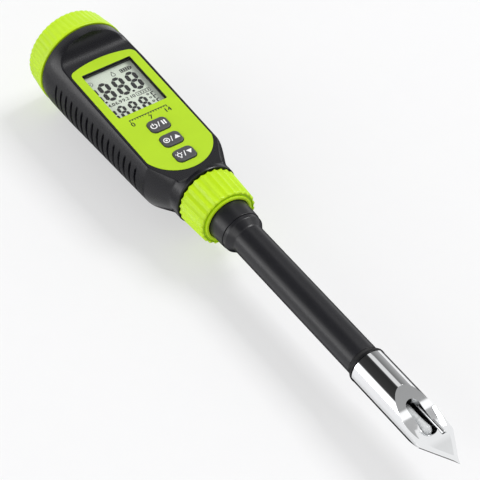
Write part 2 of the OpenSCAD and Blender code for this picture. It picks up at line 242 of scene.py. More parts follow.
def make_world():
    """A pale studio all round, with cards over the meter's length and bands over its point."""
    world = bpy.data.worlds.new("studio")
    world.use_nodes = True
    bpy.context.scene.world = world
    nodes = world.node_tree.nodes
    links = world.node_tree.links
    parts = coordinates(nodes, links, "Generated")
    round_axis = nodes.new("ShaderNodeMath")
    round_axis.operation = "ARCTAN2"
    links.new(parts["X"], round_axis.inputs[0])
    links.new(parts["Z"], round_axis.inputs[1])
    turn = spread(nodes, links, round_axis.outputs[0], -math.pi, math.pi)
    length = spread(nodes, links, parts["Y"], -1, 1)
    bands = ramp(nodes, [(0.0, 0.4), (0.445, 0.4), (0.458, 1.2), (0.497, 1.2), (0.505, 0.5),
                         (0.57, 0.5), (0.58, 1.0), (1.0, 1.0)])
    band_width = ramp(nodes, [(0.0, 0.0), (0.49, 0.0), (0.505, 1.0), (0.63, 1.0), (0.645, 0.0),
                              (1.0, 0.0)])
    cards = ramp(nodes, [(0.0, 1.2), (0.2, 2.5), (0.25, 5.0), (0.3, 3.2), (0.34, 1.4),
                         (0.358, 0.05), (0.5, 0.03), (0.528, 0.06), (0.538, 0.85),
                         (0.592, 0.85), (0.602, 0.2), (0.73, 0.5), (0.742, 1.2), (0.825, 1.2),
                         (0.84, 0.06), (0.9, 0.06), (1.0, 1.2)])
    card_rows = ramp(nodes, [(0.0, 0.0), (0.675, 0.0), (0.71, 1.0), (0.86, 1.0), (0.9, 0.0),
                             (1.0, 0.0)])
    low_card = ramp(nodes, [(0.0, 0.85), (0.28, 0.85), (0.31, 0.02), (0.48, 0.02), (0.5, 0.9),
                            (1.0, 0.9)])
    low_rows = ramp(nodes, [(0.0, 0.3), (0.3, 1.0), (0.44, 1.0), (0.49, 0.0), (1.0, 0.0)])
    for node, source in ((bands, length), (band_width, turn), (cards, turn), (card_rows, length),
                         (low_card, turn), (low_rows, length)):
        links.new(source, node.inputs[0])
    walls = layered(nodes, links, None, low_card, low_rows)
    walls = layered(nodes, links, walls, bands, band_width)
    studio = layered(nodes, links, walls, cards, card_rows)
    background = nodes["Background"]
    background.inputs["Strength"].default_value = 0.95
    links.new(studio.outputs["Result"], background.inputs["Color"])


def make_lamp(name, spot, width, length, watts):
    """A soft box that faces the middle of the meter and is not seen itself."""
    data = bpy.data.lights.new(name, "AREA")
    data.shape = "RECTANGLE"
    data.size = width
    data.size_y = length
    data.energy = watts
    lamp = add_object(name, data)
    spot = Vector(spot)
    lamp.location = spot
    lamp.rotation_mode = "QUATERNION"
    lamp.rotation_quaternion = (spot - Vector((0, 0, AXIS_Z))).to_track_quat("Z", "Y")
    lamp.visible_camera = False


def make_sheet(name, low, high, z, material):
    """A flat sheet of the stage between two corners."""
    corners = [(low[0], low[1], z), (high[0], low[1], z), (high[0], high[1], z),
               (low[0], high[1], z)]
    mesh = bpy.data.meshes.new(name)
    mesh.from_pydata(corners, [], [(0, 1, 2, 3)])
    mesh.materials.append(material)
    sheet = add_object(name, mesh)
    return sheet


def make_stage():
    """Lights and paper, with dark cards on it that only show as mirror images in the meter."""
    bpy.context.scene.view_settings.view_transform = "Standard"
    make_world()
    make_lamp("key", (1.75, 0.1, 2.25), 1.0, 1.0, 50)
    make_lamp("fill", (-1.6, -0.5, 0.9), 1.2, 1.2, 12)
    make_sheet("floor", (-3, -3), (3, 3), 0, plain_paper())
    for name, low, high, material in (
            ("middle_card", (-12 * MM, -0.14), (85 * MM, 0.16), FLAG_AND_SHADE_BLACK),
            ("point_card", (-32 * MM, -0.14), (-12 * MM, -0.104), FLAG_AND_SHADE_BLACK),
            ("side_card", (-70 * MM, 0.05), (-12 * MM, 0.19), GREY_CARD)):
        card = make_sheet(name, low, high, 0.2 * MM, material)
        card.visible_camera = False
        card.visible_diffuse = False
        card.visible_transmission = False
        card.visible_shadow = False


# ---------- materials ----------

def new_material(name):
    material = bpy.data.materials.new(name)
    material.use_nodes = True
    tree = material.node_tree
    return material, tree.nodes, tree.links, tree.nodes["Principled BSDF"]


def noise(nodes, links, size, detail=2, stretch=(1, 1, 1)):
    """Noise in the piece's own space, with blobs of about the given size in mm."""
    where = nodes.new("ShaderNodeTexCoord")
    scale = nodes.new("ShaderNodeMapping")
    scale.inputs["Scale"].default_value = stretch
    texture = nodes.new("ShaderNodeTexNoise")
    texture.inputs["Scale"].default_value = 1 / (size * MM)
    texture.inputs["Detail"].default_value = detail
    links.new(where.outputs["Object"], scale.inputs["Vector"])
    links.new(scale.outputs["Vector"], texture.inputs["Vector"])
    return texture.outputs["Fac"]


def vary(nodes, links, source, low, high):
    """A number that follows a noise between two limits."""
    return spread(nodes, links, source, 0.3, 0.7, low, high)


def mix_colours(nodes, links, factor, first, second):
    node = nodes.new("ShaderNodeMix")
    node.data_type = "RGBA"
    links.new(factor, node.inputs["Factor"])
    node.inputs["A"].default_value = (*first, 1)
    node.inputs["B"].default_value = (*second, 1)
    return node.outputs["Result"]


def surface(name, colour, rough, spread=0.1, metal=0.0, grain=0.25, depth=0.01,
            gloss_spread=0.06, stretch=(1, 1, 1), specular=0.5):
    """A surface whose colour and gloss drift a little, under a fine grain."""
    material, nodes, links, shader = new_material(name)
    broad = noise(nodes, links, 9, 3)
    fine = noise(nodes, links, grain, 2, stretch)
    dark = tuple(c * (1 - spread) for c in colour)
    light = tuple(min(1.0, c * (1 + spread)) for c in colour)
    drift = vary(nodes, links, broad, 0, 1)
    links.new(mix_colours(nodes, links, drift, dark, light), shader.inputs["Base Color"])
    gloss = vary(nodes, links, fine, rough - gloss_spread, rough + gloss_spread)
    links.new(gloss, shader.inputs["Roughness"])
    bump = nodes.new("ShaderNodeBump")
    bump.inputs["Strength"].default_value = 0.6
    bump.inputs["Distance"].default_value = depth * MM
    links.new(fine, bump.inputs["Height"])
    links.new(bump.outputs["Normal"], shader.inputs["Normal"])
    shader.inputs["Metallic"].default_value = metal
    shader.inputs["Specular IOR Level"].default_value = specular
    return material


def plain_paper():
    """Pale matt paper, lit from behind as well, so that shadows on it stay faint."""
    material = surface("paper", (0.39, 0.39, 0.395), 0.85, 0.005, grain=2, depth=0.01, specular=0.1)
    shader = material.node_tree.nodes["Principled BSDF"]
    shader.inputs["Emission Color"].default_value = (1, 1, 1, 1)
    shader.inputs["Emission Strength"].default_value = 0.5
    return material


def thin_clear(name, tint, opacity):
    """A thin clear sheet that tints what lies behind it only a little."""
    material = surface(name, tint, 0.08, 0.01, grain=3, depth=0.0003, gloss_spread=0.02)
    material.node_tree.nodes["Principled BSDF"].inputs["Alpha"].default_value = opacity
    return material


def polished_steel():
    """Mirror-bright steel, with the faintest grinding lines along the meter."""
    return surface("polished_steel", (0.86, 0.87, 0.88), 0.045, 0.02, 1.0, 0.5, 0.0004,
                   0.02, (1, 0.04, 1))


def banded_jacket():
    """A battery's printed jacket: black with a gold band, between bare metal ends."""
    material, nodes, links, shader = new_material("cell_print")
    parts = coordinates(nodes, links, "Object")
    low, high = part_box("battery_left")
    along = spread(nodes, links, parts["Y"], low.y, high.y)
    metal = (0.6, 0.6, 0.62)
    black = (0.02, 0.02, 0.022)
    gold = (0.75, 0.5, 0.15)
    colours = ramp(nodes, [(0.0, metal), (0.03, black), (0.72, gold), (0.75, black),
                           (0.96, metal)])
    colours.color_ramp.interpolation = "CONSTANT"
    links.new(along, colours.inputs[0])
    links.new(colours.outputs[0], shader.inputs["Base Color"])
    scuff = noise(nodes, links, 1.5, 3)
    links.new(vary(nodes, links, scuff, 0.22, 0.35), shader.inputs["Roughness"])
    return material


LIME = surface("lime_plastic", (0.49, 0.74, 0.007), 0.36, 0.03, grain=0.3, depth=0.006,
               specular=0.35)
LIME_PANEL = surface("lime_film", (0.41, 0.63, 0.012), 0.5, 0.02, grain=0.2, depth=0.003,
                     specular=0.25)
SHELL = surface("charcoal_shell", (0.006, 0.006, 0.0085), 0.27, 0.12, grain=0.3, depth=0.008,
                specular=0.32)
PROBE = surface("charcoal_tube", (0.007, 0.007, 0.0095), 0.34, 0.12, grain=0.3, depth=0.005,
                specular=0.4)
RIM = surface("black_ring", (0.005, 0.005, 0.006), 0.4, 0.1, grain=0.3, depth=0.006,
              specular=0.2)
KEY = surface("key_rubber", (0.05, 0.05, 0.055), 0.5, 0.08, grain=0.15, depth=0.008)
# Black for the stage's dark cards, and painted shade on the panel's cut edges and inside the
# spear's pocket.
FLAG_AND_SHADE_BLACK = surface("flag_and_painted_shade_black", (0.006, 0.006, 0.007), 0.4, 0.1)
GREY_CARD = surface("grey_card", (0.45, 0.45, 0.45), 0.9, 0.02, grain=2, specular=0.1)
INK = surface("black_print", (0.006, 0.006, 0.006), 0.45, 0.1, grain=0.1, depth=0.001)
WHITE_INK = surface("white_print", (0.85, 0.85, 0.86), 0.45, 0.03, grain=0.1, depth=0.001)
SEGMENT = surface("display_black", (0.003, 0.003, 0.003), 0.5, 0.1, grain=0.2, depth=0.001)
FAINT_SEGMENT = surface("display_faint", (0.12, 0.135, 0.12), 0.5, 0.1, grain=0.2, depth=0.001)
LCD = surface("display_cell", (0.66, 0.73, 0.62), 0.4, 0.03, grain=0.4, depth=0.0005)
STEEL = polished_steel()
SENSOR = surface("sensor_tube_steel", (0.8, 0.81, 0.82), 0.1, 0.03, 1.0, 0.3, 0.001, 0.03)
GLASS = thin_clear("clear_bulb_glass", (0.93, 0.95, 0.96), 0.42)
LENS = thin_clear("window_plastic", (0.3, 0.31, 0.31), 0.03)
RUBBER = surface("seal_rubber", (0.012, 0.012, 0.013), 0.6, 0.1, grain=0.2, depth=0.01)

NODE_MATERIALS = {
    "lcd_frame": surface("white_moulding", (0.7, 0.7, 0.68), 0.45, 0.03),
    "lcd_glass": LCD,
    "backlight_plate": surface("light_guide_plastic", (0.85, 0.86, 0.84), 0.3, 0.03),
    "contact_strips": surface("strip_rubber", (0.05, 0.05, 0.055), 0.7, 0.15, grain=0.15),
    "main_board": surface("board_lacquer", (0.01, 0.09, 0.035), 0.35, 0.25, grain=0.6),
    "board_chips": surface("chip_resin", (0.015, 0.015, 0.016), 0.55, 0.1),
    "switch_domes": surface("dome_steel", (0.7, 0.7, 0.71), 0.25, 0.05, 1.0),
    "keypad_mat": surface("grey_rubber", (0.11, 0.11, 0.115), 0.65, 0.1),
    "board_screws": surface("zinc_plate", (0.66, 0.67, 0.69), 0.28, 0.06, 1.0),
    "battery_tray": surface("tray_plastic", (0.022, 0.022, 0.025), 0.5, 0.12),
    "battery_left": banded_jacket(),
    "battery_right": banded_jacket(),
    "spring_contact": surface("spring_nickel", (0.7, 0.69, 0.66), 0.22, 0.05, 1.0),
    "button_contact": surface("contact_nickel", (0.7, 0.69, 0.66), 0.2, 0.05, 1.0),
    "battery_leads": surface("red_insulation", (0.45, 0.02, 0.015), 0.45, 0.1),
    "probe_socket": surface("socket_plastic", (0.02, 0.02, 0.022), 0.42, 0.12),
    "signal_cable": surface("grey_insulation", (0.14, 0.14, 0.15), 0.5, 0.1),
    "cap_contact": surface("disc_nickel", (0.72, 0.71, 0.68), 0.2, 0.05, 1.0),
    "cap_spring": surface("cap_spring_nickel", (0.7, 0.69, 0.66), 0.22, 0.05, 1.0),
    "plug_insert": surface("ivory_plastic", (0.62, 0.58, 0.46), 0.4, 0.05),
    "plug_pins": surface("gold_plate", (0.85, 0.6, 0.25), 0.2, 0.05, 1.0),
    "electrode_plug": surface("potting_black", (0.01, 0.01, 0.011), 0.5, 0.15),
    "reference_wire": surface("silver_wire", (0.75, 0.74, 0.71), 0.3, 0.05, 1.0),
    "reference_junction": surface("ceramic", (0.78, 0.76, 0.7), 0.7, 0.05, grain=0.1),
}


# ---------- mesh helpers ----------

def keep(name, mesh, body, material, node=None, sharp=34):
    """Makes a mesh a piece of the object, sharp at its edges, in place of a CAD node if given."""
    if sharp:
        mark_sharp(mesh, sharp)
    piece = add_object(name, mesh)
    mesh.materials.append(material)
    normals = piece.modifiers.new("normals", "WEIGHTED_NORMAL")
    normals.keep_sharp = True
    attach(piece, body)
    if node:
        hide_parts(node)


def mesh_of(work, name):
    """The finished mesh of a bmesh, which is freed."""
    mesh = bpy.data.meshes.new(name)
    work.to_mesh(mesh)
    work.free()
    return mesh


def mark_sharp(mesh, degrees):
    """Smooth shading, but for edges that turn more than the given angle."""
    limit = math.radians(degrees)
    work = bmesh.new()
    work.from_mesh(mesh)
    for face in work.faces:
        face.smooth = True
    for edge in work.edges:
        edge.smooth = edge.calc_face_angle(math.pi) < limit
    work.to_mesh(mesh)
    work.free()


def skin(name, rows, wrap=False):
    """A closed mesh through rings of points. Without wrap, the end rings are single points."""
    work = bmesh.new()
    rings = [[work.verts.new(point) for point in row] for row in rows]
    pairs = list(zip(rings, rings[1:]))
    if wrap:
        pairs.append((rings[-1], rings[0]))
    for first, second in pairs:
        for i in range(len(first)):
            j = (i + 1) % len(first)
            work.faces.new((first[i], first[j], second[j], second[i]))
    bmesh.ops.remove_doubles(work, verts=work.verts, dist=1e-7)
    bmesh.ops.recalc_face_normals(work, faces=work.faces)
    return mesh_of(work, name)


def ring_stack(angles):
    """An empty list of rings, and a function that adds a ring of a radius at a station to it."""
    rows = []

    def ring(s, radius):
        rows.append([polar(radius(s, a) if callable(radius) else radius, s, a) for a in angles])

    return rows, ring


def even_angles(count):
    return [2 * math.pi * k / count for k in range(count)]


def fillet(points, closed=False):
    """Rounds the corners of a profile of (radius, station[, corner radius]) points."""
    count = len(points)
    result = []
    for i, point in enumerate(points):
        corner = point[2] if len(point) > 2 else 0
        here = Vector(point[:2])
        if corner == 0 or (not closed and i in (0, count - 1)):
            result.append(tuple(here))
            continue
        before = (Vector(points[i - 1][:2]) - here).normalized()
        after = (Vector(points[(i + 1) % count][:2]) - here).normalized()
        half = before.angle(after) / 2
        reach = corner / math.tan(half)
        centre = here + (before + after).normalized() * corner / math.sin(half)
        start = here + before * reach - centre
        sweep = math.pi - 2 * half
        turn = 1 if before.cross(after) < 0 else -1
        steps = max(2, round(math.degrees(sweep) / 15))
        for k in range(steps + 1):
            angle = turn * sweep * k / steps
            arm = Matrix.Rotation(angle, 2) @ start
            result.append(tuple(centre + arm))
    return result


def turned(name, points, closed=False, sides=128, x=0, z=0):
    """A turned mesh from a profile, round the long axis or an axis beside it."""
    shift = Vector((x * MM, 0, z * MM))
    angles = even_angles(sides)
    rows = [[polar(r, s, a) + shift for a in angles] for r, s in fillet(points, closed)]
    return skin(name, rows, closed)


def arc(cx, cy, r, start, end, steps):
    """Points of an arc, its angles in degrees."""
    points = []
    for k in range(steps + 1):
        a = math.radians(start + (end - start) * k / steps)
        points.append((cx + r * math.cos(a), cy + r * math.sin(a)))
    return points


def round_rect(cx, cy, width, length, r, steps=8):
    w = width / 2 - r
    h = length / 2 - r
    return (arc(cx + w, cy + h, r, 0, 90, steps) + arc(cx - w, cy + h, r, 90, 180, steps)
            + arc(cx - w, cy - h, r, 180, 270, steps) + arc(cx + w, cy - h, r, 270, 360, steps))


def plate(name, loops, low, high, edge=0.0):
    """A flat mesh on the front face from outlines and holes, its rims rounded by edge."""
    curve = bpy.data.curves.new(name, "CURVE")
    curve.dimensions = "2D"
    curve.fill_mode = "BOTH"
    for loop in loops:
        spline = curve.splines.new("POLY")
        spline.points.add(len(loop) - 1)
        for target, (x, v) in zip(spline.points, loop):
            target.co = (x * MM, v * MM, 0, 1)
        spline.use_cyclic_u = True
    curve.extrude = ((high - low) / 2 - edge) * MM
    curve.bevel_depth = edge * MM
    curve.bevel_resolution = 3
    curve.offset = -edge * MM
    scratch = add_object(name, curve)
    mesh = bpy.data.meshes.new_from_object(scratch)
    bpy.data.objects.remove(scratch)
    bpy.data.curves.remove(curve)
    mesh.transform(FACE @ Matrix.Translation((0, 0, (low + high) / 2 * MM)))
    work = bmesh.new()
    work.from_mesh(mesh)
    bmesh.ops.remove_doubles(work, verts=work.verts, dist=1e-7)
    bmesh.ops.recalc_face_normals(work, faces=work.faces)
    work.to_mesh(mesh)
    work.free()
    mesh.materials.clear()
    return mesh


def joined(name, meshes):
    """Several meshes as one."""
    work = bmesh.new()
    for mesh in meshes:
        work.from_mesh(mesh)
    return mesh_of(work, name)


def carved(mesh, cutters, operation="DIFFERENCE"):
    """The mesh after cutting other meshes out of it, or adding them to it."""
    base = add_object("base", mesh)
    scratch = [base]
    for cutter in cutters:
        tool = add_object("tool", cutter)
        scratch.append(tool)
        modifier = base.modifiers.new("cut", "BOOLEAN")
        modifier.solver = "MANIFOLD"
        modifier.operation = operation
        modifier.object = tool
    bpy.context.view_layer.update()
    done = base.evaluated_get(bpy.context.evaluated_depsgraph_get())
    result = bpy.data.meshes.new_from_object(done)
    for thing in scratch:
        bpy.data.objects.remove(thing)
    result.materials.clear()
    return result


# ---------- handle ----------

def handle_radius(s):
    taper = clamp01((s - SHOULDER_START - SHOULDER_LEN)
                    / (TAPER_END - SHOULDER_START - SHOULDER_LEN))
    cone = (s - SHOULDER_START) / SHOULDER_LEN
    shoulder = 0.3 * ease(cone) + 0.7 * ease_ends(cone, 0.12)
    back = 0.5 * clamp01((s - BARREL_ROLL) / (BARREL_END - BARREL_ROLL)) ** 2
    return NECK_R + (BELLY_R - NECK_R) * shoulder + (FULL_R - BELLY_R) * taper - back


def face_height(s):
    """Height of the flat face and its two scoops above the axis, or None past them."""
    v = s - FACE_S
    plane = FACE_H + v * math.tan(FACE_TILT)
    into_cap = s - SCOOP_S
    if into_cap > 0:
        if into_cap >= SCOOP_R:
            return None
        return plane + SCOOP_R - math.sqrt(SCOOP_R ** 2 - into_cap ** 2)
    into_neck = NECK_START + 2 + NECK_SCOOP_R - s
    if into_neck > 0:
        if into_neck >= NECK_SCOOP_R:
            return None
        return plane + NECK_SCOOP_R - math.sqrt(NECK_SCOOP_R ** 2 - into_neck ** 2)
    return plane


# Grip grooves
GROOVES = 16
GROOVE_PITCH = 3.64
GROOVE_FIRST = 173.6
GROOVE_TOP = 5.7
GROOVE_FOOT = -9.6
GROOVE_DEPTH = 1.4


def groove_depth(s, z):
    """Depth of the grip grooves: rounded across, tapered to a point at the top."""
    nearest = round((s - GROOVE_FIRST) / GROOVE_PITCH)
    if not 0 <= nearest < GROOVES:
        return 0.0
    top = clamp01((GROOVE_TOP - z) / 2)
    foot = clamp01((z - GROOVE_FOOT) / 1.2)
    half = 0.38 + 0.22 * top
    off = abs(s - GROOVE_FIRST - nearest * GROOVE_PITCH) / half
    if off >= 1 or z > GROOVE_TOP or z < GROOVE_FOOT:
        return 0.0
    return GROOVE_DEPTH * math.cos(off * math.pi / 2) ** 0.6 * ease(top) ** 0.5 * ease(foot)


def shell_radius(s, angle):
    r = handle_radius(s)
    height = face_height(s)
    if height is not None and math.cos(angle) > 0.05:
        r = soft_min(r, height / math.cos(angle), 0.35)
    return r - groove_depth(s, r * math.cos(angle))


def cavity_radius(s, angle):
    r = handle_radius(min(s, 230)) - WALL
    flat = FACE_H - 2.3 + (s - FACE_S) * math.tan(FACE_TILT)
    if math.cos(angle) > 0.05:
        r = min(r, flat / math.cos(angle))
    return r


def thread(s, angle, start, end):
    """How far a right-hand screw thread is cut in, from 0 at its crest to 1 at its root."""
    part = (s / THREAD_PITCH - angle / (2 * math.pi)) % 1
    fade = clamp01((s - start) / 0.8) * clamp01((end - s) / 0.8)
    return ease((abs(2 * part - 1) - 0.3) / 0.4) * fade


def ridge_angles():
    """Angles round the handle, closer together where the flat face meets the sides."""
    fine = [math.radians(40 + 0.5 * k) for k in range(60)]
    coarse = [math.radians(70 + 2 * k) for k in range(111)]
    top = [math.radians(-38 + 2 * k) for k in range(39)]
    left = [-a for a in reversed(fine)]
    return left + top + fine + coarse


# Inside of the handle, from the cap's seal groove to the probe's socket
SEAL_GROOVE_R = 14.4
SEAL_GROOVE_FRONT = 240.3
SEAL_GROOVE_BACK = 242.1
BAY_R = 13.3
BAY_MOUTH = 236
BAY_END = 160
CABLE_HOLE_R = 6
SOCKET_R = 7.5
SOCKET_END = 156.5


def handle_mesh():
    rows, ring = ring_stack(ridge_angles())

    def nose(s, a):
        return NOSE_R - 0.55 * thread(s, a, NOSE_START + 0.6, NECK_START - 1)

    def spigot(s, a):
        return SPIGOT_R - 0.7 * thread(s, a, 242.8, SPIGOT_END - 0.3)

    ring(NOSE_START, SOCKET_R + 0.2)
    ring(NOSE_START, NOSE_R - 0.4)
    ring(NOSE_START + 0.35, NOSE_R)
    for s in span(NOSE_START + 0.6, NECK_START - 0.8, 0.16):
        ring(s, nose)
    ring(NECK_START, NOSE_R)
    ring(NECK_START, NECK_R - 0.5)
    ring(NECK_START + 0.15, NECK_R - 0.15)
    for s in span(NECK_START + 0.5, NECK_START + 2, 0.5)[:-1]:
        ring(s, shell_radius)
    for s in span(NECK_START + 2, SHOULDER_START + 1, 0.15)[:-1]:
        ring(s, shell_radius)
    for s in span(SHOULDER_START + 1, GROOVE_FIRST - 1, 0.5)[:-1]:
        ring(s, shell_radius)
    for s in span(GROOVE_FIRST - 1, GROOVE_FIRST + GROOVES * GROOVE_PITCH - 2, 0.16)[:-1]:
        ring(s, shell_radius)
    for s in span(GROOVE_FIRST + GROOVES * GROOVE_PITCH - 2, SCOOP_S + 6, 0.3)[:-1]:
        ring(s, shell_radius)
    for s in span(SCOOP_S + 6, BARREL_END - 0.3, 0.12):
        ring(s, shell_radius)
    ring(BARREL_END, FULL_R - 0.8)
    ring(BARREL_END, SPIGOT_R)
    ring(SEAL_GROOVE_FRONT, SPIGOT_R)
    ring(SEAL_GROOVE_FRONT, SEAL_GROOVE_R)
    ring(SEAL_GROOVE_BACK, SEAL_GROOVE_R)
    ring(SEAL_GROOVE_BACK, SPIGOT_R)
    for s in span(242.5, SPIGOT_END - 0.4, 0.16):
        ring(s, spigot)
    ring(SPIGOT_END, SPIGOT_R - 0.4)
    ring(SPIGOT_END, BAY_R + 0.2)
    ring(SPIGOT_END - 0.2, BAY_R)
    ring(BAY_MOUTH, BAY_R)
    for s in span(BAY_END, BAY_MOUTH, 2)[::-1]:
        ring(s, cavity_radius)
    ring(BAY_END, CABLE_HOLE_R)
    ring(SOCKET_END, CABLE_HOLE_R)
    ring(SOCKET_END, SOCKET_R)
    ring(NOSE_START + 0.2, SOCKET_R)
    return skin("handle", rows, wrap=True)


def panel_outline(grow):
    hw = PANEL_HW + grow
    foot_r = 14.9 + grow
    foot_v = -22.95
    top_r = 41 + grow
    top_v = -11
    corner_r = 3
    corner_x = hw - corner_r
    corner_v = top_v + math.sqrt((top_r - corner_r) ** 2 - corner_x ** 2)
    lean = math.degrees(math.atan2(corner_v - top_v, corner_x))
    foot_a = math.degrees(math.acos(hw / foot_r))
    return (arc(0, foot_v, foot_r, 180 + foot_a, 360 - foot_a, 48)
            + arc(corner_x, corner_v, corner_r, 0, lean, 10)
            + arc(0, top_v, top_r, lean, 180 - lean, 32)
            + arc(-corner_x, corner_v, corner_r, 180 - lean, 180, 10))


def window_outline(grow, corner):
    return round_rect(0, WINDOW_MID, WINDOW_W + 2 * grow, WINDOW_L + 2 * grow, corner)


def key_outline(v, grow):
    return round_rect(0, v, KEY_W + 2 * grow, KEY_L + 2 * grow, 2.1)


def make_handle():
    mesh = handle_mesh()
    cuts = [plate("recess", [panel_outline(0.05)], -0.6, 2),
            plate("rebate", [window_outline(1.1, 0.6)], -1.4, 2),
            plate("opening", [window_outline(0.1, 0.6)], -4, 2)]
    cuts += [plate("key_hole", [key_outline(v, 0.16)], -4, 2) for v in KEYS.values()]
    mesh = carved(mesh, cuts)
    keep("handle_shell", mesh, "handle", SHELL, "housing")


def make_panel():
    """The lime face panel; its cut edges below the printed face are painted black as painted shade.
    """
    holes = [window_outline(0, 0.5)] + [key_outline(v, 0.12) for v in KEYS.values()]
    mesh = plate("panel", [panel_outline(-0.02)] + holes, -0.6, 0.2, 0.12)
    keep("panel", mesh, "handle", LIME_PANEL, "face_panel")
    # Black on the cut edges below the printed face is painted shade.
    mesh.materials.append(FLAG_AND_SHADE_BLACK)
    for face in mesh.polygons:
        if (FACE.inverted() @ face.center).z < 0.05 * MM:
            face.material_index = 1


def make_keys():
    for name, v in KEYS.items():
        cap = plate(name, [key_outline(v, 0)], -2.9, KEY_TOP, 0.45)
        flange = plate(name, [round_rect(0, v, KEY_W + 1.4, KEY_L + 1.2, 2)], -3.8, -3, 0.1)
        stem = plate(name, [round_rect(0, v, 5.8, 4, 1.2)], -5.7, -3.5, 0.1)
        mesh = carved(cap, [flange, stem], "UNION")
        keep(name + "_key", mesh, name, KEY, name)


# ---------- printed marks ----------

# Thickness of printed marks and figures, and the lean of display figures
PRINT_THICK = 0.025
FIGURE_THICK = 0.024
FIGURE_SLANT = 0.02


def stroke(points, width):
    """The outline of a line of the given width along open points."""
    left = []
    right = []
    for i, point in enumerate(points):
        here = Vector(point)
        before = Vector(points[max(i - 1, 0)])
        after = Vector(points[min(i + 1, len(points) - 1)])
        side = (after - before).normalized().orthogonal() * width / 2
        left.append(tuple(here + side))
        right.append(tuple(here - side))
    return left + right[::-1]


def marks(name, shapes, low, body, material):
    """Thin printed shapes on the front face; each shape is a list of loops."""
    mesh = joined(name, [plate(name, shape, low, low + PRINT_THICK) for shape in shapes])
    keep(name, mesh, body, material)


def numeral(text, x, v, height, low, name):
    """The mesh of printed figures, centred at x and standing on v."""
    curve = bpy.data.curves.new(name, "FONT")
    curve.body = text
    curve.size = height * 1.38 * MM
    curve.align_x = "CENTER"
    curve.extrude = FIGURE_THICK / 2 * MM
    scratch = add_object(name, curve)
    mesh = bpy.data.meshes.new_from_object(scratch)
    bpy.data.objects.remove(scratch)
    mesh.transform(FACE @ Matrix.Translation((x * MM, v * MM, (low + FIGURE_THICK / 2) * MM)))
    mesh.materials.clear()
    return mesh


def bar(x0, y0, x1, y1, width):
    """One display segment: a bar with pointed ends."""
    start = Vector((x0, y0))
    end = Vector((x1, y1))
    along = (end - start).normalized() * width / 2
    side = along.orthogonal()
    return [tuple(start), tuple(start + along + side), tuple(end - along + side), tuple(end),
            tuple(end - along - side), tuple(start + along - side)]


def seven(x, v, width, height, thick, lit="abcdefg"):
    """The segments of one figure whose lower left corner is at x, v."""
    half = thick / 2
    gap = 0.09 * thick
    x0 = x + half
    x1 = x + width - half
    rows = (v + half, v + height / 2, v + height - half)
    segments = {
        "a": (x0 + gap, rows[2], x1 - gap, rows[2]), "d": (x0 + gap, rows[0], x1 - gap, rows[0]),
        "g": (x0 + gap, rows[1], x1 - gap, rows[1]),
        "f": (x0, rows[2] - gap, x0, rows[1] + gap), "b": (x1, rows[2] - gap, x1, rows[1] + gap),
        "e": (x0, rows[1] - gap, x0, rows[0] + gap), "c": (x1, rows[1] - gap, x1, rows[0] + gap)}
    loops = []
    for key in lit:
        loop = bar(*segments[key], thick)
        loops.append([[(px + FIGURE_SLANT * (py - v), py) for px, py in loop]])
    return loops


def disc(x, v, r):
    return arc(x, v, r, 0, 345, 23)


def make_display():
    """All the segments of two rows of figures, each led by a cut-off 1."""
    low = LCD_TOP + 0.01
    base = 9.3
    tall = 10.4
    wide = 4.8
    thick = 1.6
    figures = (-8.05, -1.95, 4.15)
    shapes = [[round_rect(x - 0.75, base + 0.5, 0.95, 0.95, 0.2)] for x in figures]
    for x in figures:
        shapes += seven(x, base, wide, tall, thick)
    shapes += seven(figures[0] - 5.75, base, wide, tall - 0.6, thick - 0.2, "bc")
    marks("display_figures", shapes, low, "handle", SEGMENT)
    small = []
    for x in (-7.7, -2.95, 1.75):
        small += seven(x, -1.6, 3.5, 7.3, 1.2)
        small.append([round_rect(x + 4.05, -0.9, 0.6, 0.6, 0.1)])
    small += seven(-11.2, -1.6, 2.6, 7.0, 1.05, "bc")
    marks("display_small_figures", small, low, "handle", SEGMENT)
    make_display_signs(low)
    make_display_row(low)


def make_display_signs(low):
    """A battery, a dial and a drop over the figures, and unit signs beside the small ones."""
    battery = [[round_rect(6.8, 21.5, 4.6, 2.0, 0.2), round_rect(6.8, 21.5, 4.0, 1.4, 0.1)],
               [round_rect(9.35, 21.5, 0.45, 1.0, 0.1)]]
    battery += [[round_rect(5.4 + 0.93 * k, 21.5, 0.7, 1.1, 0.05)] for k in range(4)]
    units = []
    for v in (5.4, 3.4, 1.2):
        units.append([disc(6.9, v, 0.55), disc(6.9, v, 0.25)])
        units.append([round_rect(8.3, v - 0.4, 0.5, 1.6, 0.1)])
        units.append([round_rect(8.9, v + 0.3, 1.2, 0.4, 0.1)])
    marks("display_signs", battery + units, low, "handle", SEGMENT)
    dial = [[disc(-9.1, 21.2, 1.2), disc(-9.1, 21.2, 0.98)], [disc(-9.1, 21.2, 0.28)]]
    drop = [arc(1.4, 21.3, 0.95, -220, 40, 20) + [(1.4, 23.4)],
            arc(1.4, 21.3, 0.62, -220, 40, 20) + [(1.4, 22.7)]]
    marks("display_faint_signs", dial + [drop], low, "handle", FAINT_SEGMENT)


def make_display_row(low):
    """A row of buffer values and of three boxed step numbers between the figures."""
    boxes = []
    figures = []
    for k in range(3):
        x = 4.1 + 2.1 * k
        boxes.append([round_rect(x, 7.55, 1.95, 2.1, 0.2), round_rect(x, 7.55, 1.55, 1.7, 0.12)])
        figures.append((str(k + 1), x, 6.95, 1.25))
    for k, text in enumerate(("4.0", "6.9", "9.2", "10")):
        figures.append((text, -7.9 + 3.1 * k, 6.7, 1.7))
    meshes = [numeral(text, x + nudge, v, height, low, "row_figure")
              for text, x, v, height in figures for nudge in (-0.06, 0.06)]
    marks("display_boxes", boxes, low, "handle", SEGMENT)
    row = joined("display_row", meshes)
    keep("display_row", row, "handle", SEGMENT, sharp=None)


